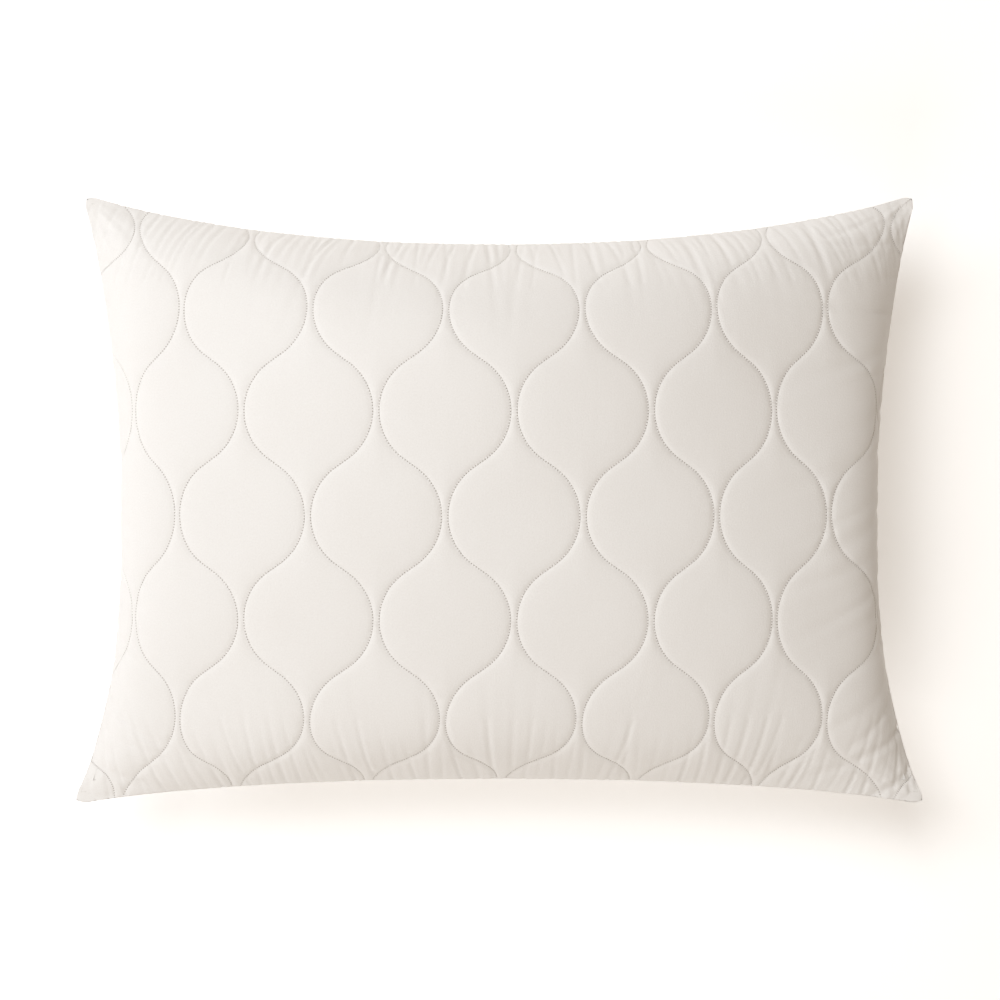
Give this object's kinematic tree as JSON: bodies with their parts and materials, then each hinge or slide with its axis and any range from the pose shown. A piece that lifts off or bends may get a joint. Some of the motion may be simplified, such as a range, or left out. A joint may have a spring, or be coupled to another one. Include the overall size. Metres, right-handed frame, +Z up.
{
  "type": "bed pillow",
  "caption": "Plump rectangular bed pillow with quilted onion-shaped cells in a smooth creamy white cover, a plain knife-edge seam all round and a loose fibre filling.",
  "frame": {"origin": "centre of the outline's box, on the surface the pillow rests on", "axes": "+X along the pillow's width, +Y up its height towards the edge with the deeper dip, +Z up through its thickness, from the rear panel to the front panel"},
  "size_m": [0.673, 0.476, 0.171],
  "materials": {
    "cover_fabric": "smooth brushed microfibre, matt with a faint sheen",
    "wadding": "soft bonded polyester wadding",
    "lining": "thin non-woven backing, spot bonded",
    "quilting_thread": "twisted polyester thread, slight sheen",
    "bobbin_thread": "twisted polyester thread",
    "seam_thread": "twisted polyester thread",
    "overlock_thread": "textured overlock thread",
    "fibre": "carded hollow polyester fibre"
  },
  "bodies": {
    "root": {"front_cover": "cover_fabric", "front_wadding": "wadding", "front_lining": "lining", "front_quilt_thread_01": "quilting_thread", "front_quilt_thread_02": "quilting_thread", "front_quilt_thread_03": "quilting_thread", "front_quilt_thread_04": "quilting_thread", "front_quilt_thread_05": "quilting_thread", "front_quilt_thread_06": "quilting_thread", "front_quilt_thread_07": "quilting_thread", "front_quilt_thread_08": "quilting_thread", "front_quilt_thread_09": "quilting_thread", "front_quilt_thread_10": "quilting_thread", "front_quilt_thread_11": "quilting_thread", "front_quilt_thread_12": "quilting_thread", "front_quilt_thread_13": "quilting_thread", "front_quilt_thread_14": "quilting_thread", "front_bobbin_threads": "bobbin_thread", "rear_cover": "cover_fabric", "rear_wadding": "wadding", "rear_lining": "lining", "rear_quilt_thread_01": "quilting_thread", "rear_quilt_thread_02": "quilting_thread", "rear_quilt_thread_03": "quilting_thread", "rear_quilt_thread_04": "quilting_thread", "rear_quilt_thread_05": "quilting_thread", "rear_quilt_thread_06": "quilting_thread", "rear_quilt_thread_07": "quilting_thread", "rear_quilt_thread_08": "quilting_thread", "rear_quilt_thread_09": "quilting_thread", "rear_quilt_thread_10": "quilting_thread", "rear_quilt_thread_11": "quilting_thread", "rear_quilt_thread_12": "quilting_thread", "rear_quilt_thread_13": "quilting_thread", "rear_quilt_thread_14": "quilting_thread", "rear_bobbin_threads": "bobbin_thread", "seam_thread": "seam_thread", "closing_thread": "seam_thread", "overlock_thread": "overlock_thread", "fibre_filling": "fibre"}
  },
  "joints": []
}
